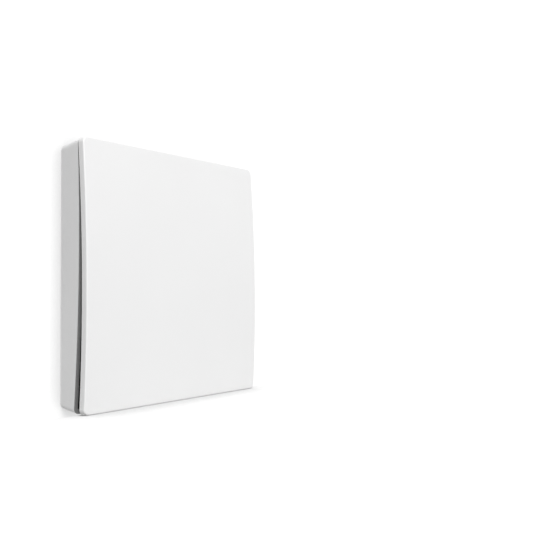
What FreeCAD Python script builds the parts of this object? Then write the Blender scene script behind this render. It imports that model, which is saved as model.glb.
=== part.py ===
import FreeCAD, Part
import Sketcher
import os
import re

# Wireless remote wall switch, self-powered, for an 86 mm wall plate.
# X to the right seen from the front, Y into the wall, Z up, millimetres.
# The origin is the centre of the back face. "Depth" is the distance out from the wall, so Y = -depth.

sizes = {
    # shell
    "plate": 86.0,
    "base_corner": 2.0,
    "base_draft": 7.4,
    "base_inset": 0.1,
    "base_drop": 0.4,
    "rocker_corner": 2.0,
    "wall": 1.5,
    "rim_top": 9.25,
    "rim_bottom": 7.45,
    "face_bow": 1.55,
    "rocker_edge": 2.25,
    "rocker_relief": 0.6,
    "relief_rim": 1.6,
    "rocker_rib": 1.2,
    "relief_cells": 4,
    "edge_round": 0.45,
    # rocker hinge and travel
    "seat_gap": 0.5,
    "press_angle": 1.75,
    "press_range": 1.7,
    "hinge_inset": 5.0,
    "hinge_depth": 5.0,
    "trunnion_r": 1.2,
    "trunnion_reach": 2.6,
    "running_fit": 0.06,
    "side_play": 0.3,
    "arm_inset": 15.0,
    "arm_thick": 2.0,
    "arm_wide": 5.0,
    "bearing_thick": 3.0,
    "bearing_front": 7.2,
    # hooks that hold the rocker at rest
    "hook_side": 21.0,
    "hook_inset": 5.5,
    "hook_wide": 6.0,
    "hook_thick": 1.4,
    "barb_reach": 1.4,
    "barb_thick": 1.0,
    "hook_play": 0.1,
    "ledge_back": 5.2,
    "ledge_thick": 0.9,
    "ledge_wide": 8.0,
    "window_tall": 4.0,
    # rubber stops
    "bumper_side": 9.0,
    "bumper_inset": 10.0,
    "bumper_r": 2.2,
    "bumper_thick": 1.0,
    "bumper_gap": 0.15,
    "bumper_land": 0.6,
    # wall screws of a standard back box
    "screw_pitch": 60.3,
    "slot_r": 2.1,
    "slot_long": 8.0,
    "slot_collar": 1.6,
    "collar_high": 0.6,
    # generator
    "gen_depth": 4.7,
    "coil_x": 15.2,
    "core_thick": 1.5,
    "core_wide": 4.0,
    "leg_wide": 3.0,
    "leg_z": 10.5,
    "leg_reach": 14.0,
    "bobbin_play": 0.1,
    "bobbin_wall": 0.5,
    "winding_thick": 0.75,
    "winding_round": 0.7,
    "flange_lip": 0.2,
    "flange_thick": 0.8,
    "flange_wide": 10.0,
    "terminal_thick": 0.6,
    "terminal_x": 2.8,
    "terminal_pitch": 1.1,
    "terminal_long": 8.6,
    # moving magnet
    "boss_drop": 17.0,
    "boss_r": 1.2,
    "boss_play": 0.15,
    "jaw_half": 1.4,
    "pole_thick": 0.8,
    "pole_wide": 8.8,
    "pole_tall": 24.4,
    "pole_x": 2.2,
    "carrier_play": 0.05,
    "carrier_wide": 8.4,
    "carrier_tall": 13.0,
    "carrier_x": 1.8,
    "magnet_wide": 5.6,
    "magnet_tall": 9.0,
    "pivot_r": 0.8,
    "pivot_reach": 2.4,
    "post_thick": 2.4,
    "post_wide": 4.0,
    "post_front": 6.6,
    "lever_wide": 4.0,
    "lever_half": 1.2,
    "lever_end": 15.5,
    "leaf_thick": 0.3,
    "leaf_wide": 3.0,
    "leaf_root": 2.5,
    "leaf_end": 19.5,
    "leaf_fit": 0.02,
    # return spring
    "return_wide": 4.0,
    "return_root": 33.0,
    "return_flat": 4.5,
    "return_seat": 2.6,
    "return_gap": 0.05,
    "stake_r": 0.8,
    "stake_head": 0.7,
    # radio board
    "board_wide": 39.0,
    "board_tall": 19.0,
    "board_z": 23.5,
    "board_seat": 3.0,
    "board_thick": 1.0,
    "board_pad": 3.0,
    "board_inset": 2.2,
    "board_pin_r": 0.9,
    "board_pin_fit": 0.05,
    "board_pin_rise": 0.6,
    "chip_wide": 5.0,
    "chip_high": 0.9,
    "crystal_wide": 3.2,
    "crystal_tall": 2.5,
    "crystal_high": 0.8,
    "rectifier_wide": 4.7,
    "rectifier_tall": 3.9,
    "rectifier_high": 1.6,
    "lead_wide": 0.7,
    "lead_reach": 1.1,
    "lead_thick": 0.25,
    "regulator_wide": 2.9,
    "regulator_tall": 1.4,
    "regulator_high": 1.1,
    "choke_wide": 4.0,
    "choke_high": 1.8,
    "choke_round": 0.7,
    "capacitor_r": 2.45,
    "capacitor_long": 9.0,
    "capacitor_x": 13.0,
    "capacitor_z": 1.5,
    "capacitor_groove": 0.25,
    "capacitor_lead_r": 0.3,
    "capacitor_pitch": 2.0,
    "capacitor_lead": 6.0,
    "cradle_thick": 1.2,
    "cradle_wide": 7.0,
    "cradle_front": 3.4,
    # antenna
    "wire_thick": 0.8,
    "wire_start": 16.0,
    "wire_high": 26.0,
    "wire_gap": 3.0,
    "wire_end": 5.0,
    "wire_bend": 4.0,
    "wire_notch": 3.0,
    "clip_wide": 2.4,
    "clip_tall": 3.0,
    "clip_front": 5.4,
    # inner lid and its screws
    "cover_front": 7.9,
    "cover_thick": 0.8,
    "cover_wide": 50.0,
    "cover_tall": 52.5,
    "cover_z": 7.75,
    "cover_corner": 2.0,
    "skirt_thick": 1.0,
    "tray_front": 5.5,
    "lid_gap": 0.1,
    "cut_wide": 11.0,
    "cut_x": 2.2,
    "cut_high": 14.0,
    "screw_side": 3.1,
    "screw_inset": 3.5,
    "screw_post_r": 2.2,
    "cup_r": 2.5,
    "head_r": 1.7,
    "head_thick": 0.8,
    "head_sink": 0.1,
    "head_play": 0.2,
    "shank_r": 0.8,
    "shank_play": 0.2,
    "thread_fit": 0.02,
    "shank_long": 4.2,
    "pilot_extra": 0.4,
    "drive_wide": 0.5,
    "drive_long": 2.0,
    "drive_deep": 0.45,
    "rib_fit": 0.1,
}

# Places and sizes that follow from the ones above.
derived = {
    "rim_mid": "(rim_top + rim_bottom)/2 + face_bow",
    "base_front": "rim_top + face_bow",
    "base_wide": "plate - 2*base_inset + 2*(base_front - rim_mid)*tan(base_draft*1deg)",
    "floor": "wall",
    "floor_half": "base_wide/2 - wall/cos(base_draft*1deg) - (base_front - floor)*tan(base_draft*1deg)",
    "floor_low": "floor_half + base_drop",
    "hinge_z": "plate/2 - hinge_inset",
    "arm_x": "plate/2 - arm_inset",
    "hook_x": "plate/2 - hook_side",
    "hook_z": "plate/2 - hook_inset",
    "bumper_x": "plate/2 - bumper_side",
    "bumper_z": "plate/2 - bumper_inset",
    "wire_side": "plate/2 - wall - wire_gap",
    "wire_low": "plate/2 - wire_end",
    "cover_low": "cover_z - cover_tall/2",
    "cover_high": "cover_z + cover_tall/2",
    "skirt_back": "tray_front + lid_gap",
    "screw_post_front": "tray_front",
    "screw_x": "cover_wide/2 - screw_side",
    "screw_high": "cover_high - screw_inset",
    "screw_low": "cover_low + screw_inset",
}

doc = FreeCAD.newDocument("wall_switch")
sheet = doc.addObject("Spreadsheet::Sheet", "Dims")
for row, (alias, value) in enumerate(sizes.items(), start=1):
    sheet.set(f"A{row}", alias)
    sheet.set(f"B{row}", str(value))
    sheet.setAlias(f"B{row}", alias)
doc.recompute()


def spell(formula):
    """Write derived names out and point the others at the sheet; a name before a bracket is a function."""
    def word(match):
        name = match.group()
        return f"({spell(derived[name])})" if name in derived else f"Dims.{name}"
    return re.sub(r"\b[a-z]\w*\b(?!\()", word, formula)


def bind(target, prop, formula):
    target.setExpression(prop, spell(formula))


def new_body(label):
    body = doc.addObject("PartDesign::Body", label)
    body.Label = label
    return body


def origin_part(body, role):
    """One of the body's own base planes or axes."""
    return next(f for f in body.Origin.OriginFeatures if f.Role == role)


def new_sketch(body, plane, x="0", y="0", out="0"):
    """Sketch on one of the body's own planes, moved by x, y in the plane and out along its normal."""
    sketch = body.newObject("Sketcher::SketchObject", "Sketch")
    sketch.AttachmentSupport = [(origin_part(body, plane), "")]
    sketch.MapMode = "FlatFace"
    for axis, formula in zip("xyz", (x, y, out)):
        if formula != "0":
            bind(sketch, f"AttachmentOffset.Base.{axis}", formula)
    return sketch


def constrain(sketch, name, formula, *where):
    """Add a named size to a sketch and bind it to the sheet."""
    index = sketch.addConstraint(Sketcher.Constraint(*where))
    sketch.renameConstraint(index, name)
    bind(sketch, f"Constraints.{name}", formula)


def rectangle(sketch, width, height):
    """Rectangle centred on the sketch origin."""
    corners = [FreeCAD.Vector(*c) for c in ((-1, -1), (1, -1), (1, 1), (-1, 1))]
    low = sketch.GeometryCount
    for start, end in zip(corners, corners[1:] + corners[:1]):
        sketch.addGeometry(Part.LineSegment(start, end))
    for side in range(4):
        sketch.addConstraint(Sketcher.Constraint("Coincident", low + side, 2, low + (side + 1) % 4, 1))
        sketch.addConstraint(Sketcher.Constraint(("Horizontal", "Vertical")[side % 2], low + side))
    sketch.addConstraint(Sketcher.Constraint("Symmetric", low, 1, low + 1, 2, -1, 1))
    constrain(sketch, f"width{low}", width, "DistanceX", low, 1, low, 2, 2.0)
    constrain(sketch, f"height{low}", height, "DistanceY", low + 1, 1, low + 1, 2, 2.0)


def circle(sketch, radius):
    """Circle centred on the sketch origin."""
    sketch.addGeometry(Part.Circle(FreeCAD.Vector(), FreeCAD.Vector(0, 0, 1), 1.0))
    sketch.addConstraint(Sketcher.Constraint("Coincident", 0, 3, -1, 1))
    constrain(sketch, "radius", radius, "Radius", 0, 1.0)


def feature(body, kind, sketch, length):
    made = body.newObject(f"PartDesign::{kind}", kind)
    made.Profile = sketch
    bind(made, "Length", length)
    sketch.Visibility = False
    return made


def block(body, x, z, back, front, width, height, kind="Pad"):
    """Box between two depths; a Pocket starts at the front and cuts toward the wall."""
    sketch = new_sketch(body, "XZ_Plane", x, z, back if kind == "Pad" else front)
    rectangle(sketch, width, height)
    return feature(body, kind, sketch, f"({front}) - ({back})")


def stud(body, x, z, back, front, radius, kind="Pad"):
    """Round post between two depths, or a round hole."""
    sketch = new_sketch(body, "XZ_Plane", x, z, back if kind == "Pad" else front)
    circle(sketch, radius)
    return feature(body, kind, sketch, f"({front}) - ({back})")


def pivot(body, depth, z, left, right, radius, kind="Pad"):
    """Round pin or hole along X; a Pocket starts at the right and cuts to the left."""
    sketch = new_sketch(body, "YZ_Plane", f"-({depth})", z, left if kind == "Pad" else right)
    circle(sketch, radius)
    return feature(body, kind, sketch, f"({right}) - ({left})")


def round_edges(body, keep, radius):
    """Fillet the edges of the latest feature that the test keeps."""
    doc.recompute()
    latest = body.Tip
    edges = [f"Edge{i}" for i, e in enumerate(latest.Shape.Edges, start=1) if keep(e)]
    fillet = body.newObject("PartDesign::Fillet", "Fillet")
    fillet.Base = (latest, edges)
    bind(fillet, "Radius", radius)
    return fillet


def corner_edge(edge):
    """Test for the edges that run along Y in the corners of the plate."""
    box = edge.BoundBox
    along_y = box.YLength > max(box.XLength, box.ZLength)
    return along_y and min(abs(box.Center.x), abs(box.Center.z)) > sizes["plate"] / 3


def front_face(shape):
    """Name of the face of a shape that lies nearest to the viewer."""
    depths = [face.CenterOfMass.y for face in shape.Faces]
    return f"Face{depths.index(min(depths)) + 1}"


def slant(body, angle):
    """Draft the latest feature's faces that stand square to the wall, narrower from the front to the wall."""
    doc.recompute()
    latest = body.Tip
    square = [f"Face{i}" for i, f in enumerate(latest.Shape.Faces, start=1) if abs(f.Surface.Axis.y) < 1e-6]
    draft = body.newObject("PartDesign::Draft", "Draft")
    draft.Base = (latest, square)
    draft.NeutralPlane = (latest, [front_face(latest.Shape)])
    draft.PullDirection = (origin_part(body, "Y_Axis"), [""])
    bind(draft, "Angle", angle)
    # A new draft only finds its plane on the second recompute; the next feature runs that one.
    doc.recompute()
    return draft


def hollow_out(body, wall):
    """Shell the latest feature to one even wall, open at its front."""
    doc.recompute()
    latest = body.Tip
    shell = body.newObject("PartDesign::Thickness", "Thickness")
    shell.Base = (latest, [front_face(latest.Shape)])
    shell.Reversed = True
    bind(shell, "Value", wall)
    return shell


def bowed_region(body, top, bottom, beyond, width, right="plate/2", height="plate"):
    """Cut leftwards across a width: the region between a bowed line and a straight line beyond it.

    The bowed line runs from depth "bottom" at the low end to depth "top" at the high end of the height.
    """
    sketch = new_sketch(body, "YZ_Plane", out=right)
    half = sizes["plate"] / 2
    high = FreeCAD.Vector(-sizes["rim_top"], half)
    middle = FreeCAD.Vector(-sizes["rim_top"] - sizes["face_bow"], 0)
    low = FreeCAD.Vector(-sizes["rim_bottom"], -half)
    sketch.addGeometry(Part.Arc(high, middle, low))
    first, last = (1, 2) if sketch.Geometry[0].StartPoint.y > 0 else (2, 1)
    far = FreeCAD.Vector(-sizes["rim_top"] - sizes["plate"], 0)
    far_high = FreeCAD.Vector(far.x, half)
    far_low = FreeCAD.Vector(far.x, -half)
    sketch.addGeometry(Part.LineSegment(high, far_high))
    sketch.addGeometry(Part.LineSegment(far_high, far_low))
    sketch.addGeometry(Part.LineSegment(far_low, low))
    sketch.addConstraint(Sketcher.Constraint("Coincident", 0, first, 1, 1))
    sketch.addConstraint(Sketcher.Constraint("Coincident", 1, 2, 2, 1))
    sketch.addConstraint(Sketcher.Constraint("Coincident", 2, 2, 3, 1))
    sketch.addConstraint(Sketcher.Constraint("Coincident", 3, 2, 0, last))
    sketch.addConstraint(Sketcher.Constraint("Horizontal", 1))
    sketch.addConstraint(Sketcher.Constraint("Vertical", 2))
    sketch.addConstraint(Sketcher.Constraint("Horizontal", 3))
    constrain(sketch, "top_depth", top, "DistanceX", 1, 1, -1, 1, -high.x)
    constrain(sketch, "bottom_depth", bottom, "DistanceX", 3, 2, -1, 1, -low.x)
    constrain(sketch, "high_end", f"({height})/2", "DistanceY", -1, 1, 1, 1, half)
    constrain(sketch, "low_end", f"({height})/2", "DistanceY", 3, 2, -1, 1, half)
    constrain(sketch, "beyond", beyond, "DistanceX", 1, 2, -1, 1, -far.x)
    bow = f"face_bow*(({height})/plate)^2"
    chord = f"(({height})^2 + (({top}) - ({bottom}))^2)"
    bow_radius = f"({chord}/4 + ({bow})^2)/(2*{bow})"
    constrain(sketch, "bow_radius", bow_radius, "Radius", 0, sketch.Geometry[0].Radius)
    return feature(body, "Pocket", sketch, width)


def rim_at(z):
    """Depth of the bowed rim of the base at a height z."""
    return (f"((rim_top + rim_bottom)/2 + face_bow + (rim_top - rim_bottom)*({z})/plate"
            f" - face_bow*(2*({z})/plate)^2)")


def under_at(z):
    """Depth of the rocker's rim at rest, from which it closes on the base by the press angle."""
    return f"({rim_at(z)} + seat_gap + (hinge_z - ({z}))*tan(press_angle*1deg))"


under_top = under_at("plate/2")
under_bottom = under_at("-plate/2")
beyond_front = "2*(base_front + rocker_edge)"
sides = ("-1", "1")

# Rear base: one moulded tray that widens from the wall, its open front cut to the bow of the rocker.
base = new_body("rear_base")
block(base, "0", "-base_drop/2", "0", "base_front", "base_wide", "base_wide + base_drop")
slant(base, "base_draft")
round_edges(base, corner_edge, "base_corner")
hollow_out(base, "wall")
past_edge = "plate/2 + wall"
bowed_region(base, rim_at(past_edge), rim_at(f"-({past_edge})"), beyond_front,
             f"2*({past_edge})", past_edge, f"2*({past_edge})")

# Bearings of the rocker: two posts with round sockets, tied to the top wall.
bearing_near = "arm_x + arm_thick/2 + side_play"
bearing_tall = "plate/2 - wall - hinge_z + arm_wide/2"
bearing_z = "(plate/2 - wall + hinge_z - arm_wide/2)/2"
for side in sides:
    middle = f"{side}*({bearing_near} + bearing_thick/2)"
    block(base, middle, bearing_z, "floor/2", "bearing_front", "bearing_thick", bearing_tall)
    pivot(base, "hinge_depth", "hinge_z", f"{middle} - bearing_thick/2", f"{middle} + bearing_thick/2",
          "trunnion_r + running_fit", "Pocket")

# Ledges that catch the rocker's hooks, each over a window for the mould core.
ledge_low = "plate/2 - wall/2"
ledge_high = "hook_z + hook_thick/2 + side_play"
for side in sides:
    block(base, f"{side}*hook_x", f"-({ledge_low} + {ledge_high})/2",
          "ledge_back", "ledge_back + ledge_thick", "ledge_wide", f"{ledge_low} - ({ledge_high})")
    block(base, f"{side}*hook_x", "-(floor_low - window_tall/2)", "0", "floor",
          "ledge_wide", "window_tall", "Pocket")

# Posts under the rubber stops.
bumper_front = f"{rim_at('-bumper_z')} + seat_gap + rocker_relief - bumper_gap"
bumper_seat = f"{bumper_front} - bumper_thick"
for side in sides:
    stud(base, f"{side}*bumper_x", "-bumper_z", "floor/2", bumper_seat, "bumper_r + bumper_land")


def slot(body, x, z, back, front, radius, length):
    """Slot along X with round ends, cut from the front."""
    sketch = new_sketch(body, "XZ_Plane", x, z, front)
    ends = [FreeCAD.Vector(-1, 0), FreeCAD.Vector(1, 0)]
    up = FreeCAD.Vector(0, 1)
    normal = FreeCAD.Vector(0, 0, 1)
    turn = FreeCAD.Units.Quantity("180 deg").getValueAs("rad").Value
    sketch.addGeometry(Part.ArcOfCircle(Part.Circle(ends[0], normal, 1.0), turn / 2, 3 * turn / 2))
    sketch.addGeometry(Part.LineSegment(ends[0] - up, ends[1] - up))
    sketch.addGeometry(Part.ArcOfCircle(Part.Circle(ends[1], normal, 1.0), -turn / 2, turn / 2))
    sketch.addGeometry(Part.LineSegment(ends[1] + up, ends[0] + up))
    sketch.addConstraint(Sketcher.Constraint("Tangent", 0, 2, 1, 1))
    sketch.addConstraint(Sketcher.Constraint("Tangent", 1, 2, 2, 1))
    sketch.addConstraint(Sketcher.Constraint("Tangent", 2, 2, 3, 1))
    sketch.addConstraint(Sketcher.Constraint("Tangent", 3, 2, 0, 1))
    sketch.addConstraint(Sketcher.Constraint("Equal", 0, 2))
    sketch.addConstraint(Sketcher.Constraint("Horizontal", 1))
    sketch.addConstraint(Sketcher.Constraint("Symmetric", 0, 3, 2, 3, -1, 1))
    constrain(sketch, "radius", radius, "Radius", 0, 1.0)
    constrain(sketch, "centres", f"{length} - 2*({radius})", "DistanceX", 0, 3, 2, 3, 2.0)
    return feature(body, "Pocket", sketch, f"({front}) - ({back})")


# Wall-screw slots, each in a raised collar.
for side in sides:
    middle = f"{side}*screw_pitch/2"
    block(base, middle, "0", "floor/2", "floor + collar_high",
          "slot_long + 2*slot_collar", "2*(slot_r + slot_collar)")
    slot(base, middle, "0", "0", "floor + collar_high", "slot_r", "slot_long")

# Seats of the iron core, and the two open bearings of the magnet carrier.
core_back = "gen_depth - core_thick/2"
spine = "-coil_x"
for side in sides:
    block(base, f"{spine} - core_wide/2 + core_wide/4", f"{side}*leg_z", "floor/2", core_back,
          "core_wide/2", "leg_wide - 2*side_play")
carrier_left = "-carrier_x - carrier_wide/2"
carrier_right = "-carrier_x + carrier_wide/2"
left_post = "-pole_x - pole_wide/2 - side_play - post_thick/2"
right_post = f"{carrier_right} + side_play + post_thick/2"
for middle in (left_post, right_post):
    block(base, middle, "0", "floor/2", "post_front", "post_thick", "post_wide")
    pivot(base, "gen_depth", "0", f"{middle} - post_thick/2", f"{middle} + post_thick/2",
          "pivot_r + running_fit", "Pocket")
    block(base, middle, "0", "gen_depth", "post_front", "post_thick", "2*(pivot_r + running_fit)", "Pocket")

# Pads and heat-staked pins of the radio board.
board_front = "board_seat + board_thick"
pad_x = "board_wide/2 - board_inset"
pad_low = "board_z - board_tall/2 + board_inset"
pad_high = "board_z + board_tall/2 - board_inset"
for side in sides:
    for height in (pad_low, pad_high):
        block(base, f"{side}*({pad_x})", height, "floor/2", "board_seat", "board_pad", "board_pad")
pins = ((f"-({pad_x})", pad_high), (pad_x, pad_low))
for x, z in pins:
    stud(base, x, z, "board_seat/2", f"{board_front} + board_pin_rise", "board_pin_r")

# Tray wall under the edge of the inner lid, open for the springs and the antenna, and the lid's screw posts.
screw_places = [(f"{side}*screw_x", z) for side in sides for z in ("screw_high", "screw_low")]
tray = new_sketch(base, "XZ_Plane", y="cover_z", out="floor/2")
rectangle(tray, "cover_wide", "cover_tall")
rectangle(tray, "cover_wide - 2*skirt_thick", "cover_tall - 2*skirt_thick")
feature(base, "Pad", tray, "tray_front - floor/2")
block(base, "-cut_x", "cover_low + skirt_thick/2", "2*floor", "tray_front",
      "cut_wide", "skirt_thick", "Pocket")
block(base, "cover_wide/2 - skirt_thick/2", "wire_high", "board_seat", "tray_front",
      "skirt_thick", "wire_notch", "Pocket")
for x, z in screw_places:
    stud(base, x, z, "floor/2", "screw_post_front", "screw_post_r")
    stud(base, x, z, "screw_post_front - shank_long", "screw_post_front", "shank_r + thread_fit", "Pocket")

# Cradle of the storage capacitor, wire clips, and the seat of the return spring with its stake.
capacitor_depth = f"{board_front} + capacitor_lead_r"
for end in sides:
    block(base, "capacitor_x", f"capacitor_z + {end}*capacitor_long/4", "floor/2", "cradle_front",
          "cradle_wide", "cradle_thick")
capacitor_end = "capacitor_z + capacitor_long/2"
cradle_bore = new_sketch(base, "XY_Plane", "capacitor_x", f"-({capacitor_depth})", capacitor_end)
circle(cradle_bore, "capacitor_r + leaf_fit")
feature(base, "Pocket", cradle_bore, "capacitor_long")
for end in sides:
    height = f"{end}*wire_low/2"
    block(base, "wire_side", height, "floor/2", "clip_front", "clip_wide", "clip_tall")
    block(base, "wire_side", height, board_front, "clip_front",
          "wire_thick + 2*leaf_fit", "clip_tall", "Pocket")
return_middle = "-(return_root - return_flat/2)"
block(base, "0", return_middle, "floor/2", "return_seat", "return_wide", "return_flat")
stud(base, "0", return_middle, "return_seat/2", "return_seat + leaf_thick + stake_head", "stake_r")

# Rocker: a bowed plate with hinge arms, hooks and the boss that drives the generator.
rocker = new_body("rocker")
rocker_front = "rim_top + 2*face_bow + 2*rocker_edge"
block(rocker, "0", "0", "rim_bottom", rocker_front, "plate", "plate")
round_edges(rocker, corner_edge, "rocker_corner")
bowed_region(rocker, f"{under_top} + rocker_edge", f"{under_bottom} + rocker_edge", beyond_front, "plate")
bowed_region(rocker, under_top, under_bottom, "0", "plate")
relief = "plate - 2*relief_rim"
relief_top = f"{under_at(f'({relief})/2')} + rocker_relief"
relief_bottom = f"{under_at(f'-({relief})/2')} + rocker_relief"
cell = f"(({relief} + rocker_rib)/relief_cells - rocker_rib)"
first_cell = bowed_region(rocker, relief_top, relief_bottom, "0", cell,
                          right=f"{cell} - ({relief})/2", height=relief)
doc.recompute()
pressed_face = rocker.Tip.Shape.getElement(front_face(rocker.Tip.Shape))
front_edges = [e.hashCode() for e in pressed_face.Edges]
round_edges(rocker, lambda e: e.hashCode() in front_edges, "edge_round")
cells = rocker.newObject("PartDesign::LinearPattern", "LinearPattern")
cells.Originals = [first_cell]
cells.Direction = (origin_part(rocker, "X_Axis"), [""])
bind(cells, "Length", f"({relief}) - {cell}")
bind(cells, "Occurrences", "relief_cells")
rocker.Tip = cells

for side in sides:
    arm_front = f"{under_at('hinge_z')} + rocker_relief + rocker_edge/4"
    block(rocker, f"{side}*arm_x", "hinge_z", "hinge_depth", arm_front, "arm_thick", "arm_wide - 2*side_play")
    pivot(rocker, "hinge_depth", "hinge_z", f"{side}*arm_x - arm_thick/2", f"{side}*arm_x + arm_thick/2",
          "arm_wide/2 - side_play")
    outer = f"{side}*(arm_x + arm_thick/2 + trunnion_reach)"
    inner = f"{side}*arm_x"
    left, right = (outer, inner) if side == "-1" else (inner, outer)
    pivot(rocker, "hinge_depth", "hinge_z", left, right, "trunnion_r")

barb_front = "ledge_back - hook_play"
for side in sides:
    leg_front = f"{under_at('-hook_z')} + rocker_relief + rocker_edge/4"
    block(rocker, f"{side}*hook_x", "-hook_z", f"{barb_front} - barb_thick", leg_front,
          "hook_wide", "hook_thick")
    block(rocker, f"{side}*hook_x", "-(hook_z + barb_reach/2)", f"{barb_front} - barb_thick", barb_front,
          "hook_wide", "hook_thick + barb_reach")

# The carrier rests tilted back by half of its swing, so the boss meets the tongue half a swing out.
swing = "press_range*(hinge_z + boss_drop)/boss_drop"
boss_tip = f"gen_depth + leaf_thick/2 + boss_drop*sin({swing}/2*1deg) + boss_play"
boss_front = f"{under_at('-boss_drop')} + rocker_relief + rocker_edge/4"
stud(rocker, "0", "-boss_drop", boss_tip, boss_front, "boss_r")

# Rubber stops.
for label, side in (("left_bumper", "-1"), ("right_bumper", "1")):
    bumper = new_body(label)
    stud(bumper, f"{side}*bumper_x", "-bumper_z", bumper_seat, bumper_front, "bumper_r")

# Generator coil on its bobbin.
tube_wide = "core_wide + 2*(bobbin_play + bobbin_wall)"
tube_deep = "core_thick + 2*(bobbin_play + bobbin_wall)"
flange_deep = f"{tube_deep} + 2*(winding_thick + flange_lip)"
coil_half = "leg_z - leg_wide/2 - bobbin_play"
flange_z = f"({coil_half} - flange_thick/2)"
winding_tall = f"2*({coil_half} - flange_thick)"


def around_core(body, deep, wide, tall, z="0", kind="Pad"):
    """Box centred on the coil axis."""
    return block(body, spine, z, f"gen_depth - ({deep})/2", f"gen_depth + ({deep})/2", wide, tall, kind)


bobbin = new_body("coil_bobbin")
around_core(bobbin, tube_deep, tube_wide, f"2*({coil_half})")
for side in sides:
    around_core(bobbin, flange_deep, "flange_wide", "flange_thick", f"{side}*{flange_z}")
around_core(bobbin, "core_thick + 2*bobbin_play", "core_wide + 2*bobbin_play",
            f"2*({coil_half})", "0", "Pocket")
terminal_back = board_front
terminal_front = f"{board_front} + terminal_thick"
terminal_low = f"({coil_half} - flange_thick)"
terminal_places = {
    "coil_terminal_inner": f"{spine} - terminal_x",
    "coil_terminal_outer": f"{spine} - terminal_x - terminal_pitch",
}
for x in terminal_places.values():
    block(bobbin, x, flange_z, f"{terminal_back} - leaf_fit", f"{terminal_front} + leaf_fit",
          "terminal_thick + 2*leaf_fit", "flange_thick", "Pocket")

winding = new_body("coil_winding")
wound = f"{tube_deep} + 2*winding_thick"
around_core(winding, wound, f"{tube_wide} + 2*winding_thick", winding_tall)
round_edges(winding, lambda e: e.BoundBox.ZLength > 1, "winding_round")
around_core(winding, tube_deep, tube_wide, winding_tall, "0", "Pocket")

for label, x in terminal_places.items():
    terminal = new_body(label)
    block(terminal, x, f"{terminal_low} + terminal_long/2", terminal_back, terminal_front,
          "terminal_thick", "terminal_long")

# Two L-shaped core halves that butt inside the bobbin.
for label, side in (("upper_core", "1"), ("lower_core", "-1")):
    core = new_body(label)
    core_front = "gen_depth + core_thick/2"
    end = "leg_z + leg_wide/2"
    block(core, spine, f"{side}*({end})/2", core_back, core_front, "core_wide", end)
    block(core, f"{spine} - core_wide/2 + leg_reach/2", f"{side}*leg_z", core_back, core_front,
          "leg_reach", "leg_wide")

# Moving magnet: built upright about the pivot and tilted to its rest place.


def on_pivot(body):
    """Put the pivot of a piece at the generator axis, tilted by half of the swing."""
    place = "vector(0; -gen_depth; 0)"
    turn = f"rotation(vector(1; 0; 0); -({swing})/2)"
    bind(body, "Placement", f"placement({place}; {turn})")


carrier = new_body("magnet_carrier")
carrier_half = "(jaw_half - carrier_play)"
block(carrier, "-carrier_x", "0", f"-{carrier_half}", carrier_half, "carrier_wide", "carrier_tall")
block(carrier, "0", "-lever_end/2", "-lever_half", "lever_half", "lever_wide", "lever_end")
block(carrier, "-carrier_x", "0", f"-{carrier_half}", carrier_half, "magnet_wide", "magnet_tall", "Pocket")
block(carrier, "0", "-(lever_end - leaf_root/2)", "-(leaf_thick/2 + leaf_fit)", "leaf_thick/2 + leaf_fit",
      "leaf_wide + 2*leaf_fit", "leaf_root + 2*leaf_fit", "Pocket")
pivot(carrier, "0", "0", f"{carrier_left} - pivot_reach", carrier_left, "pivot_r")
pivot(carrier, "0", "0", carrier_right, f"{carrier_right} + pivot_reach", "pivot_r")
on_pivot(carrier)

magnet = new_body("magnet")
block(magnet, "-carrier_x", "0", "-jaw_half", "jaw_half",
      "magnet_wide - 2*leaf_fit", "magnet_tall - 2*leaf_fit")
on_pivot(magnet)

front_pole = new_body("front_pole_plate")
block(front_pole, "-pole_x", "0", "jaw_half", "jaw_half + pole_thick", "pole_wide", "pole_tall")
on_pivot(front_pole)

rear_pole = new_body("rear_pole_plate")
block(rear_pole, "-pole_x", "0", "-jaw_half - pole_thick", "-jaw_half", "pole_wide", "pole_tall")
on_pivot(rear_pole)

drive_leaf = new_body("drive_leaf")
block(drive_leaf, "0", "-(leaf_end + lever_end - leaf_root)/2", "-leaf_thick/2", "leaf_thick/2",
      "leaf_wide", "leaf_end - lever_end + leaf_root")
on_pivot(drive_leaf)

# Return spring: a flat root staked to the base and a straight tongue up to the back of the drive leaf.
return_leaf = new_body("return_leaf")
tip_z = "(leaf_end - leaf_thick)"
tip_depth = f"(gen_depth - leaf_thick/2 + {tip_z}*sin({swing}/2*1deg) - return_gap)"
leaf_line = new_sketch(return_leaf, "YZ_Plane", out="-return_wide/2")
outline = ((-1, -30), (-1, -25), (-3, -20), (-4, -20), (-2, -25), (-2, -30))
outline = [FreeCAD.Vector(*p) for p in outline]
for start, end in zip(outline, outline[1:] + outline[:1]):
    leaf_line.addGeometry(Part.LineSegment(start, end))
for side in range(6):
    leaf_line.addConstraint(Sketcher.Constraint("Coincident", side, 2, (side + 1) % 6, 1))
for side, rule in ((0, "Vertical"), (2, "Horizontal"), (4, "Vertical"), (5, "Horizontal")):
    leaf_line.addConstraint(Sketcher.Constraint(rule, side))
leaf_line.addConstraint(Sketcher.Constraint("Parallel", 1, 3))
constrain(leaf_line, "seat", "return_seat", "DistanceX", 0, 1, -1, 1, 1.0)
constrain(leaf_line, "root", "return_root", "DistanceY", 0, 1, -1, 1, 30.0)
constrain(leaf_line, "flat", "return_flat", "DistanceY", 0, 1, 0, 2, 5.0)
constrain(leaf_line, "thick", "leaf_thick", "DistanceX", 5, 1, 5, 2, 1.0)
constrain(leaf_line, "tip_low", tip_z, "DistanceY", 2, 2, -1, 1, 20.0)
constrain(leaf_line, "tip_out", tip_depth, "DistanceX", 2, 2, -1, 1, 4.0)
constrain(leaf_line, "slant", "leaf_thick*1.2", "DistanceX", 2, 2, 2, 1, 1.0)
feature(return_leaf, "Pad", leaf_line, "return_wide")
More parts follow.
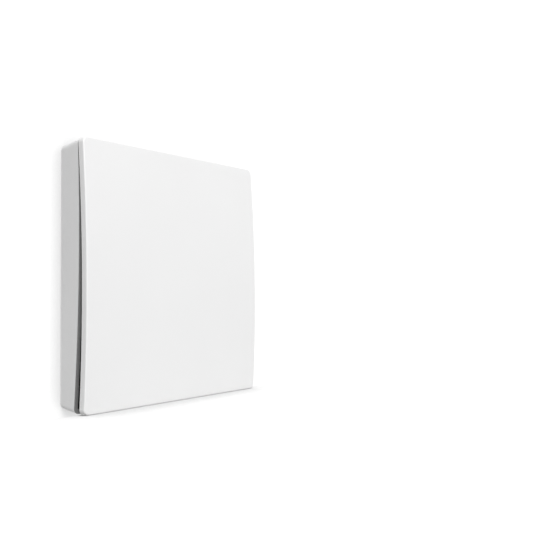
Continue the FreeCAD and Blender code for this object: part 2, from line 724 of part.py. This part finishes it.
stud(return_leaf, "0", return_middle, "return_seat", "return_seat + leaf_thick",
     "stake_r + leaf_fit", "Pocket")

# Radio board and what is soldered to it.
board = new_body("radio_board")
block(board, "0", "board_z", "board_seat", board_front, "board_wide", "board_tall")
for x, z in pins:
    stud(board, x, z, "board_seat", board_front, "board_pin_r + board_pin_fit", "Pocket")


def on_board(label, x, z, width, height, high):
    piece = new_body(label)
    block(piece, x, z, board_front, f"{board_front} + {high}", width, height)
    return piece


on_board("radio_chip", "-chip_wide", "board_z + chip_wide/2", "chip_wide", "chip_wide", "chip_high")
on_board("crystal", "crystal_wide/2", "board_z + chip_wide/2", "crystal_wide", "crystal_tall", "crystal_high")
rectifier = on_board("rectifier", "-2*chip_wide", "board_z - chip_wide", "rectifier_wide", "rectifier_tall",
                     "rectifier_high")
for side in sides:
    block(rectifier, f"-2*chip_wide + {side}*rectifier_wide/4", "board_z - chip_wide", board_front,
          f"{board_front} + lead_thick", "lead_wide", "rectifier_tall + 2*lead_reach")
regulator = on_board("regulator", "-chip_wide/2", "board_z - chip_wide", "regulator_wide", "regulator_tall",
                     "regulator_high")
block(regulator, "-chip_wide/2", "board_z - chip_wide", board_front, f"{board_front} + lead_thick",
      "lead_wide", "regulator_tall + 2*lead_reach")
choke = on_board("choke", "2*chip_wide", "board_z + chip_wide/2", "choke_wide", "choke_wide", "choke_high")
round_edges(choke, lambda e: e.BoundBox.YLength > 1, "choke_round")

# Storage capacitor lying in its cradle, its leads on the board.
capacitor = new_body("storage_capacitor")
capacitor_low = "capacitor_z - capacitor_long/2"
capacitor_top = "capacitor_z + capacitor_long/2"


def capacitor_round(x, low, high, radius):
    sketch = new_sketch(capacitor, "XY_Plane", f"capacitor_x + {x}", f"-({capacitor_depth})", low)
    circle(sketch, radius)
    return feature(capacitor, "Pad", sketch, f"({high}) - ({low})")


capacitor_round("0", capacitor_low, f"{capacitor_top} - 4*capacitor_groove", "capacitor_r")
capacitor_round("0", capacitor_low, f"{capacitor_top} - 2*capacitor_groove", "capacitor_r - capacitor_groove")
capacitor_round("0", f"{capacitor_top} - 2*capacitor_groove", capacitor_top, "capacitor_r")
board_low = "board_z - board_tall/2"
for side in sides:
    capacitor_round(f"{side}*capacitor_pitch/2", f"{capacitor_top} - capacitor_groove",
                    f"{board_low} + capacitor_lead/2", "capacitor_lead_r")

# Antenna: a square wire from the board, bent once, then along the right-hand wall.
antenna = new_body("antenna_wire")
wire_front = f"{board_front} + wire_thick"
outer_x = "(wire_side + wire_thick/2)"
block(antenna, f"({outer_x} + wire_start)/2", "wire_high", board_front, wire_front,
      f"{outer_x} - wire_start", "wire_thick")
block(antenna, "wire_side", "(wire_high + wire_thick/2 - wire_low)/2", board_front, wire_front,
      "wire_thick", "wire_high + wire_thick/2 + wire_low")
for radius in ("wire_bend + wire_thick/2", "wire_bend - wire_thick/2"):
    doc.recompute()
    across = [e for e in antenna.Tip.Shape.Edges if e.BoundBox.YLength > e.BoundBox.DiagonalLength / 2]
    corner = max(across, key=lambda e: e.BoundBox.Center.x + e.BoundBox.Center.z)
    round_edges(antenna, corner.isSame, radius)

# Inner lid: a plate with a skirt, screw cups and two ribs that close the carrier bearings.
cover = new_body("mechanism_cover")
cover_back = "cover_front - cover_thick"
block(cover, "0", "cover_z", "skirt_back", "cover_front", "cover_wide", "cover_tall")
round_edges(cover, lambda e: e.BoundBox.YLength > 1, "cover_corner")
block(cover, "0", "cover_z", "skirt_back", cover_back, "cover_wide - 2*skirt_thick",
      "cover_tall - 2*skirt_thick", "Pocket")
block(cover, "-cut_x", "(cut_high + cover_low)/2", "skirt_back", "cover_front", "cut_wide",
      "cut_high - cover_low", "Pocket")
for x, z in screw_places:
    stud(cover, x, z, "screw_post_front", "cover_front", "cup_r")
    stud(cover, x, z, "cover_front - head_sink - head_thick", "cover_front", "head_r + head_play", "Pocket")
    stud(cover, x, z, "screw_post_front", "cover_front", "shank_r + shank_play", "Pocket")
for middle in (left_post, right_post):
    block(cover, middle, "0", "gen_depth + pivot_r + running_fit", "cover_front - cover_thick/2",
          "post_thick", "2*(pivot_r - rib_fit)")

# Self-tapping screws of the lid.
screw_names = ("upper_left", "lower_left", "upper_right", "lower_right")
for name, (x, z) in zip(screw_names, screw_places):
    screw = new_body(f"cover_screw_{name}")
    head_front = "cover_front - head_sink"
    stud(screw, x, z, f"screw_post_front - shank_long + pilot_extra", "cover_front - head_sink", "shank_r")
    stud(screw, x, z, f"{head_front} - head_thick", head_front, "head_r")
    block(screw, x, z, f"{head_front} - drive_deep", head_front, "drive_long", "drive_wide", "Pocket")
    block(screw, x, z, f"{head_front} - drive_deep", head_front, "drive_wide", "drive_long", "Pocket")

doc.recompute()
bodies = [o for o in doc.Objects if o.TypeId == "PartDesign::Body"]
for item in doc.Objects:
    if "Invalid" in item.State or "Error" in item.State:
        raise SystemExit(f"{item.Label} did not build: {item.State}")
os.makedirs("parts", exist_ok=True)
for body in bodies:
    if body.Shape.isNull() or not body.Shape.isValid() or len(body.Shape.Solids) != 1:
        raise SystemExit(f"{body.Label} is not one valid solid")
    body.Shape.exportStep(f"parts/{body.Label}.step")
    box = body.Shape.BoundBox
    print(f"{body.Label}: {body.Shape.Volume:.1f} mm3, x {box.XMin:.2f} to {box.XMax:.2f},"
          f" y {box.YMin:.2f} to {box.YMax:.2f}, z {box.ZMin:.2f} to {box.ZMax:.2f}")
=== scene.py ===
# %% [markdown]
# A self-powered wall switch is two white mouldings: a bowed rocker, and a shallow tray that hangs on the
# wall and holds a click generator and a small radio. The CAD model already holds every piece in its place,
# in metres. This lesson dresses it: smooth corners, finishes, a studio, and the camera of the photograph.

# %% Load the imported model
import bpy
import math
import numpy as np
from mathutils import Matrix, Vector

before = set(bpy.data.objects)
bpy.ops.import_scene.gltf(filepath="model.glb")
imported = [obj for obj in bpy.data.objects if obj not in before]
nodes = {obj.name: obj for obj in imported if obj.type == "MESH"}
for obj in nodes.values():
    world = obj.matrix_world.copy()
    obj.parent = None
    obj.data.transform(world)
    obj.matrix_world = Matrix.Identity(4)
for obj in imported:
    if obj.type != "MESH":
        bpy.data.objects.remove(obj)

MM = 0.001
scene = bpy.context.scene
scene.view_settings.view_transform = "Standard"
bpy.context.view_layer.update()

# %% [markdown]
# The photograph was taken from the left, level with the middle of the switch. A camera could be turned by
# eye until it looks right. Here its place, turn and focal length come from the plate's own edges, taken
# as a square of 86 mm, so a render can be laid over the picture edge by edge.

# %% Camera
CAMERA_PLACE = Vector((-205.01, -198.18, -5.78)) * MM
CAMERA_YAW = math.radians(54.187)
CAMERA_PITCH = math.radians(1.931)
CAMERA_ROLL = math.radians(-0.299)
FOCAL_PIXELS = 785.41
PHOTO_PIXELS = 533
SENSOR = 36.0
NEAREST = 10 * MM


def camera_axes(yaw, pitch, roll):
    """Right, up and forward of a level camera turned by yaw from +Y to +X, raised by pitch, then rolled."""
    forward = Vector((math.sin(yaw) * math.cos(pitch), math.cos(yaw) * math.cos(pitch), math.sin(pitch)))
    level = Vector((math.cos(yaw), -math.sin(yaw), 0.0))
    upright = level.cross(forward)
    right = level * math.cos(roll) + upright * math.sin(roll)
    up = upright * math.cos(roll) - level * math.sin(roll)
    return right, up, forward


right, up, forward = camera_axes(CAMERA_YAW, CAMERA_PITCH, CAMERA_ROLL)
lens = bpy.data.cameras.new("photo_camera")
lens.sensor_width = SENSOR
lens.lens = SENSOR * FOCAL_PIXELS / PHOTO_PIXELS
lens.clip_start = NEAREST
camera = bpy.data.objects.new("photo_camera", lens)
camera.matrix_world = Matrix.Translation(CAMERA_PLACE) @ Matrix((right, up, -forward)).transposed().to_4x4()
scene.collection.objects.link(camera)
scene.camera = camera
print("lens mm:", round(lens.lens, 2))

# %% [markdown]
# A mould leaves no facets: the bow of the rocker and the round edges run smoothly, while real corners stay
# sharp. The CAD meshes are loose flat triangles, so three modifiers join them, part them again at corners
# sharper than a set angle, and let large faces rule the shading of the small rounds beside them. Modifiers
# leave the CAD mesh itself as it is.

# %% Smooth shading
JOIN = 0.002 * MM
CORNER = math.radians(25.0)


def smooth_corners(piece):
    """Shade a CAD node smoothly, apart from its corners."""
    piece.data.shade_smooth()
    join = piece.modifiers.new("join_triangles", "WELD")
    join.merge_threshold = JOIN
    part = piece.modifiers.new("part_corners", "EDGE_SPLIT")
    part.split_angle = CORNER
    part.use_edge_sharp = False
    piece.modifiers.new("large_faces_rule", "WEIGHTED_NORMAL")


for piece in nodes.values():
    smooth_corners(piece)
print("smoothed:", len(nodes), "pieces")

# %% [markdown]
# Colours are picked as sRGB hex values, the way a designer writes them, and turned into the linear values
# that a shader adds up. A node could be made by a helper of its own for every kind; one function that takes
# the kind, its settings and its links is shorter and reads the same everywhere.

# %% Helpers for finishes
MIX_A = 6  # the colour inputs of a Mix node, and its colour output below
MIX_B = 7
MIX_COLOUR = 2


def linear(hex_code):
    """sRGB hex to linear: c / 12.92 up to 0.04045, else ((c + 0.055) / 1.055) ** 2.4."""
    c = np.array([int(hex_code[i:i + 2], 16) for i in (1, 3, 5)]) / 255.0
    curve = np.where(c <= 0.04045, c / 12.92, ((c + 0.055) / 1.055) ** 2.4)
    return (*curve.tolist(), 1.0)


def add_node(tree, kind, settings=()):
    """Add a node; a key is one of its attributes or an input, and an output given as value is linked."""
    node = tree.nodes.new(kind)
    for key, value in dict(settings).items():
        if isinstance(value, bpy.types.NodeSocket):
            tree.links.new(value, node.inputs[key])
        elif isinstance(key, str) and key in node.bl_rna.properties:
            setattr(node, key, value)
        else:
            node.inputs[key].default_value = value
    return node


def new_material(name):
    """Empty node material and its tree."""
    material = bpy.data.materials.new(name)
    material.use_nodes = True
    material.node_tree.nodes.clear()
    return material, material.node_tree


def dress(material, *names):
    """Give CAD nodes one material."""
    for name in names:
        nodes[name].data.materials.clear()
        nodes[name].data.materials.append(material)
    print(material.name, "on", ", ".join(names))


print("#808080 in linear:", round(linear("#808080")[0], 3))

# %% [markdown]
# Both shells are moulded in white ABS from a mould with a fine spark-eroded grain. The grain is under
# 0.1 mm and too fine to see at this distance, but it takes the mirror out of the plastic and leaves a
# broad, dull highlight. A noise of 0.25 mm, coarser than the real grain, gives a shallow bump, and a slow
# one lets colour and gloss drift a little, as in any real moulding.

# %% White shells
WHITE_ABS = "#f2f2f2"
WHITE_ABS_LOW = "#efefef"
GRAIN = 0.25 * MM
GRAIN_DEPTH = 0.004 * MM
GRAIN_BUMP = 0.5
DRIFT = 30 * MM
PLASTIC_IOR = 1.54


def moulded(name, high, low, gloss, grain=GRAIN):
    """Plastic from a grained mould: colour drifts between two tones, roughness between two values."""
    material, tree = new_material(name)
    place = add_node(tree, "ShaderNodeTexCoord").outputs["Object"]
    fine = add_node(tree, "ShaderNodeTexNoise", {"Vector": place, "Scale": 1.0 / grain, "Detail": 2.0})
    slow = add_node(tree, "ShaderNodeTexNoise", {"Vector": place, "Scale": 1.0 / DRIFT, "Detail": 1.0})
    tone = add_node(tree, "ShaderNodeMix", {"data_type": "RGBA", "Factor": slow.outputs["Fac"],
                                            MIX_A: linear(low), MIX_B: linear(high)})
    rough = add_node(tree, "ShaderNodeMapRange", {"Value": slow.outputs["Fac"],
                                                  "To Min": gloss[0], "To Max": gloss[1]})
    bump = add_node(tree, "ShaderNodeBump", {"Height": fine.outputs["Fac"], "Distance": GRAIN_DEPTH,
                                             "Strength": GRAIN_BUMP})
    shell = add_node(tree, "ShaderNodeBsdfPrincipled", {
        "Base Color": tone.outputs[MIX_COLOUR], "Roughness": rough.outputs["Result"],
        "Normal": bump.outputs["Normal"], "IOR": PLASTIC_IOR})
    add_node(tree, "ShaderNodeOutputMaterial", {"Surface": shell.outputs["BSDF"]})
    return material


white_abs = moulded("white_abs", WHITE_ABS, WHITE_ABS_LOW, (0.42, 0.5))
dress(white_abs, "rocker", "rear_base")

# %% [markdown]
# Through the wedge between the shells the photograph shows the rim of the tray as an even mid grey, and
# everything behind it as black. A shadow alone leaves white plastic too light there, so shade is painted on
# the white ABS: painted grey shade on the rim and painted black shade inside. Each face of the tray takes
# its painted shade from where it lies: inside the inner wall, which leans with the mould's draft, or on the
# rim in front of it.

# %% Painted shade on the tray
WALL = 1.5 * MM  # thickness of the tray
FLOOR_HALF = 40.30 * MM  # half the inner floor, from the middle to a wall
DROP = 0.4 * MM  # how much farther down the lower wall lies
DRAFT = math.tan(math.radians(7.4))
SLACK = 0.05 * MM  # so that a face right on a wall or the floor counts as inside
RIM_FACES_FRONT = -0.9  # a normal with less y than this looks forward


def painted_shade_faces(mesh):
    """Painted shade per face: 0 none outside; 2 black where its centre is within the inner wall; 1 grey on
    the rim.
    """
    centre = np.empty(len(mesh.polygons) * 3)
    normal = np.empty_like(centre)
    mesh.polygons.foreach_get("center", centre)
    mesh.polygons.foreach_get("normal", normal)
    x, y, z = centre.reshape(-1, 3).T
    lean = FLOOR_HALF + (-y - WALL) * DRAFT + SLACK
    within = (np.abs(x) < lean) & (z < lean) & (-z < lean + DROP) & (-y > WALL - SLACK)
    rim = ~within & (normal[1::3] < RIM_FACES_FRONT)
    return np.where(within, 2, np.where(rim, 1, 0))


tray = nodes["rear_base"].data
# painted shade: the rim is coloured grey and the inside black, where the white tray only lies in shadow
tray.materials.append(moulded("painted_shade_grey_rim", "#8f8f8f", "#898989", (0.6, 0.7)))
tray.materials.append(moulded("painted_shade_black_inside", "#1e1e1e", "#191919", (0.6, 0.7)))
painted_shade_index = painted_shade_faces(tray)
tray.polygons.foreach_set("material_index", painted_shade_index.astype(np.int32))
print("faces outside, on the rim, inside:", np.bincount(painted_shade_index).tolist())

# %% [markdown]
# The lid over the mechanism is a dark satin moulding, and the small mouldings inside are black: the coil
# bobbin, the magnet carrier, and the epoxy bodies of the chips. They need the same recipe with other
# tones. Epoxy is full of ground glass, so it is duller than nylon. The choke is ferrite powder, pressed and
# fired, with a finer grain and patchy gloss. The sleeve of the capacitor is shrunk on tight and shines
# most, and the rubber stops have nearly no gloss.

# %% Dark mouldings and rubber
dress(moulded("charcoal_abs", "#2b2b2d", "#262628", (0.4, 0.5)), "mechanism_cover")
dress(moulded("black_nylon", "#18181a", "#141416", (0.4, 0.5)), "coil_bobbin", "magnet_carrier")
dress(moulded("chip_epoxy", "#1d1d1e", "#181819", (0.55, 0.65)), "radio_chip", "rectifier", "regulator")
dress(moulded("sintered_ferrite", "#2c2a2a", "#232122", (0.5, 0.7), grain=0.12 * MM), "choke")
dress(moulded("rubber_stop", "#1b1b1b", "#161616", (0.75, 0.9)), "left_bumper", "right_bumper")
dress(moulded("capacitor_sleeve", "#20262e", "#1a1f26", (0.25, 0.32)), "storage_capacitor")

# %% [markdown]
# The metals are rolled or drawn, so they carry fine scratches along one direction. A noise that is
# stretched along the rolling direction stands for the scratches. They are finer than a pixel, so they are
# drawn as coarse as 0.15 mm and work mostly through the roughness. Nickel plate is nearly a mirror, zinc
# and tin are pale and a little dull, spring steel is bright from cold rolling, and annealed iron is grey
# and dull. Enamel over drawn copper leaves it reddish and glossy.

# %% Metals
SCRATCH = 0.15 * MM
STRETCH = 0.04
SCRATCH_BUMP = 0.4


def rolled(name, colour, gloss, along="Z"):
    """Metal with scratches along one axis: noise squeezed by STRETCH along it drives roughness and bump."""
    material, tree = new_material(name)
    place = add_node(tree, "ShaderNodeTexCoord").outputs["Object"]
    scale = [STRETCH if axis == along else 1.0 for axis in "XYZ"]
    drawn = add_node(tree, "ShaderNodeMapping", {"Vector": place, "Scale": scale})
    lines = add_node(tree, "ShaderNodeTexNoise", {"Vector": drawn.outputs["Vector"], "Scale": 1.0 / SCRATCH,
                                                  "Detail": 3.0})
    rough = add_node(tree, "ShaderNodeMapRange", {"Value": lines.outputs["Fac"],
                                                  "To Min": gloss[0], "To Max": gloss[1]})
    bump = add_node(tree, "ShaderNodeBump", {"Height": lines.outputs["Fac"], "Distance": GRAIN_DEPTH,
                                             "Strength": SCRATCH_BUMP})
    metal = add_node(tree, "ShaderNodeBsdfPrincipled", {
        "Base Color": linear(colour), "Metallic": 1.0, "Roughness": rough.outputs["Result"],
        "Normal": bump.outputs["Normal"]})
    add_node(tree, "ShaderNodeOutputMaterial", {"Surface": metal.outputs["BSDF"]})
    return material


screws = [name for name in nodes if name.startswith("cover_screw")]
dress(rolled("zinc_plate", "#c9ccd0", (0.25, 0.4), "X"), *screws)
dress(rolled("soft_iron", "#a2a2a4", (0.35, 0.55)), "upper_core", "lower_core", "front_pole_plate",
      "rear_pole_plate")
dress(rolled("nickel_plate", "#d3d0ca", (0.12, 0.25)), "magnet", "crystal")
dress(rolled("spring_steel", "#b5b4b0", (0.2, 0.35)), "drive_leaf", "return_leaf")
dress(rolled("tinned_wire", "#d5d6d4", (0.25, 0.4)), "coil_terminal_inner", "coil_terminal_outer")
dress(rolled("enamelled_copper", "#c47a4c", (0.2, 0.35)), "antenna_wire")

# %% [markdown]
# The winding is hundreds of turns of hair-thin copper. One turn is far finer than a pixel, so the turns
# are drawn 0.4 mm wide: bands along the coil's axis, with painted shade darkening the grooves between them.

# %% Coil winding
TURN = 0.4 * MM
TURN_BUMP = 0.8
BAND_PERIOD = math.pi / 10  # of a wave texture at scale 1, in metres

winding, tree = new_material("copper_winding")
place = add_node(tree, "ShaderNodeTexCoord").outputs["Object"]
turns = add_node(tree, "ShaderNodeTexWave", {"bands_direction": "Z", "Vector": place,
                                             "Scale": BAND_PERIOD / TURN, "Distortion": 0.4})
# painted shade: the dark end of the bands stands for the shade in the grooves between the turns
tone = add_node(tree, "ShaderNodeMix", {"data_type": "RGBA", "Factor": turns.outputs["Fac"],
                                        MIX_A: linear("#6b3318"), MIX_B: linear("#cf7f4b")})
bump = add_node(tree, "ShaderNodeBump", {"Height": turns.outputs["Fac"], "Distance": TURN / 2,
                                         "Strength": TURN_BUMP})
wire = add_node(tree, "ShaderNodeBsdfPrincipled", {
    "Base Color": tone.outputs[MIX_COLOUR], "Metallic": 1.0, "Roughness": 0.3,
    "Normal": bump.outputs["Normal"]})
add_node(tree, "ShaderNodeOutputMaterial", {"Surface": wire.outputs["BSDF"]})
dress(winding, "coil_winding")

# %% [markdown]
# The radio board is glass cloth in resin under green solder mask. Two crossed sets of bands make the weave,
# which shows as a faint change of green and a shallow bump under the glossy mask.

# %% Radio board
WEAVE = 0.6 * MM

board, tree = new_material("solder_mask")
place = add_node(tree, "ShaderNodeTexCoord").outputs["Object"]
warp = add_node(tree, "ShaderNodeTexWave", {"bands_direction": "X", "Vector": place,
                                            "Scale": BAND_PERIOD / WEAVE, "Distortion": 0.5})
weft = add_node(tree, "ShaderNodeTexWave", {"bands_direction": "Z", "Vector": place,
                                            "Scale": BAND_PERIOD / WEAVE, "Distortion": 0.5})
cloth = add_node(tree, "ShaderNodeMath", {"operation": "MULTIPLY", 0: warp.outputs["Fac"],
                                          1: weft.outputs["Fac"]})
tone = add_node(tree, "ShaderNodeMix", {"data_type": "RGBA", "Factor": cloth.outputs["Value"],
                                        MIX_A: linear("#0f4a2a"), MIX_B: linear("#17653a")})
bump = add_node(tree, "ShaderNodeBump", {"Height": cloth.outputs["Value"], "Distance": GRAIN_DEPTH,
                                         "Strength": GRAIN_BUMP})
mask = add_node(tree, "ShaderNodeBsdfPrincipled", {
    "Base Color": tone.outputs[MIX_COLOUR], "Roughness": 0.25, "Normal": bump.outputs["Normal"]})
add_node(tree, "ShaderNodeOutputMaterial", {"Surface": mask.outputs["BSDF"]})
dress(board, "radio_board")

# %% [markdown]
# The studio is white paper: a sheet right behind the switch, and a floor that ends under the rocker. One
# curved sweep would be simpler, but it leaves a dark hollow under the tray, where the photograph is light.
# Paper takes light and shadow, and rays that look straight at it see a glow on top, so that it is white in
# the picture while no more light falls on the switch. The glow fades near the switch, a painted contact
# shadow. The sheet behind is greyer and glows more, so the shadow of the lamp stays faint on it.
# Paper lets a ray pass that starts within 1 mm of it or comes from behind, so the back and the underside
# are lit too when the camera goes round.

# %% Paper floor and wall
PAPER_HALF = 0.6
FLOOR_LOW = -43.01 * MM
FLOOR_BACK = -9.0 * MM
WALL_GAP = 0.05 * MM
NEAR = 1.0 * MM
SKY_RAYS = 8


def paper_sheet(name, y, z, finish):
    """Flat sheet: a straight profile between two points y, z, carried across from right to left."""
    x = np.repeat([PAPER_HALF, -PAPER_HALF], 2)
    corners = np.column_stack([x, np.tile(y, 2), np.tile(z, 2)])
    mesh = bpy.data.meshes.new(name)
    mesh.from_pydata(corners, [], [(0, 2, 3, 1)])
    mesh.materials.append(finish)
    sheet = bpy.data.objects.new(name, mesh)
    scene.collection.objects.link(sheet)
    print(name, "faces", [round(n, 2) for n in mesh.polygons[0].normal])
    return sheet


def seen_rays(tree):
    """One for rays that look at a surface straight, in a mirror or through glass, and zero for the rest."""
    path = add_node(tree, "ShaderNodeLightPath")
    straight = add_node(tree, "ShaderNodeMath", {"operation": "ADD", 0: path.outputs["Is Camera Ray"],
                                                 1: path.outputs["Is Glossy Ray"]})
    all_seen = add_node(tree, "ShaderNodeMath", {"operation": "ADD", "use_clamp": True,
                                                 0: straight.outputs["Value"],
                                                 1: path.outputs["Is Transmission Ray"]})
    return all_seen.outputs["Value"]


def paper(name, colour, glow, reach, closed):
    """Paper that glows for rays that look at it. The glow falls in step with the open part of the sky
    within reach, from full at 1 to nothing at closed; a closed below 0 keeps some of it everywhere."""
    material, tree = new_material(name)
    matt = add_node(tree, "ShaderNodeBsdfDiffuse", {"Color": linear(colour)})
    sky = add_node(tree, "ShaderNodeAmbientOcclusion", {"Distance": reach, "samples": SKY_RAYS})
    # painted contact shadow: the glow dims where the switch closes off the sky
    fade = add_node(tree, "ShaderNodeMapRange", {"Value": sky.outputs["AO"], "From Min": closed,
                                                 "To Max": glow})
    strength = add_node(tree, "ShaderNodeMath", {"operation": "MULTIPLY", 0: seen_rays(tree),
                                                 1: fade.outputs["Result"]})
    shine = add_node(tree, "ShaderNodeEmission", {"Strength": strength.outputs["Value"]})
    lit = add_node(tree, "ShaderNodeAddShader", {0: matt.outputs["BSDF"], 1: shine.outputs["Emission"]})
    path = add_node(tree, "ShaderNodeLightPath")
    near = add_node(tree, "ShaderNodeMath", {"operation": "LESS_THAN", 0: path.outputs["Ray Length"],
                                             1: NEAR})
    side = add_node(tree, "ShaderNodeNewGeometry")
    passed = add_node(tree, "ShaderNodeMath", {"operation": "MAXIMUM", 0: side.outputs["Backfacing"],
                                               1: near.outputs["Value"]})
    clear = add_node(tree, "ShaderNodeBsdfTransparent")
    shown = add_node(tree, "ShaderNodeMixShader", {"Fac": passed.outputs["Value"], 1: lit.outputs["Shader"],
                                                   2: clear.outputs["BSDF"]})
    add_node(tree, "ShaderNodeOutputMaterial", {"Surface": shown.outputs["Shader"]})
    return material


wall = paper_sheet("paper_wall", (WALL_GAP, WALL_GAP), (PAPER_HALF, -PAPER_HALF),
                   paper("wall_paper", "#9a9a9a", glow=0.85, reach=8.5 * MM, closed=-0.25))
wall.visible_shadow = False  # so the fade of the floor does not count this sheet
paper_sheet("paper_floor", (FLOOR_BACK, -PAPER_HALF), (FLOOR_LOW, FLOOR_LOW),
            paper("floor_paper", "#bdbdbd", glow=0.62, reach=22.0 * MM, closed=0.25))

# %% [markdown]
# The light of the photograph is soft and comes from above and in front: the face is a little lighter at
# its top, where the bow leans back. It also comes a little from the left, or the side of the tray would be
# darker. One large area lamp, about 43 degrees up, and an even white world do the same. Two weaker lamps
# stand behind the plane of the face, low at the back and at the right, so they reach only the sides that
# the photograph does not show. The strengths add up to the plain level at which a colour renders about as
# it is written.

# %% Studio light
ROOM = 0.39
SOFT_BOXES = {  # place and side in metres, power in watts
    "front": ((-1.06, -2.1, 2.18), 2.0, 91.0),
    "back": ((0.0, 1.5, -0.35), 0.5, 5.0),
    "right": ((1.6, 0.3, 0.4), 0.5, 7.0),
}

world = bpy.data.worlds.new("white_room")
scene.world = world
world.use_nodes = True
tree = world.node_tree
level = add_node(tree, "ShaderNodeMapRange", {"Value": seen_rays(tree), "To Min": ROOM, "To Max": 1.0})
air = tree.nodes["Background"]
air.inputs["Color"].default_value = linear("#ffffff")
tree.links.new(level.outputs["Result"], air.inputs["Strength"])


def soft_box(name, place, side, power):
    """Square area lamp that faces the switch."""
    lamp = bpy.data.lights.new(name, "AREA")
    lamp.size = side
    lamp.energy = power
    holder = bpy.data.objects.new(name, lamp)
    turn = (-Vector(place)).to_track_quat("-Z", "Y")
    holder.matrix_world = Matrix.Translation(place) @ turn.to_matrix().to_4x4()
    scene.collection.objects.link(holder)


for name, (place, side, power) in SOFT_BOXES.items():
    soft_box(name, place, side, power)
print("lamps:", [lamp.name for lamp in bpy.data.lights])
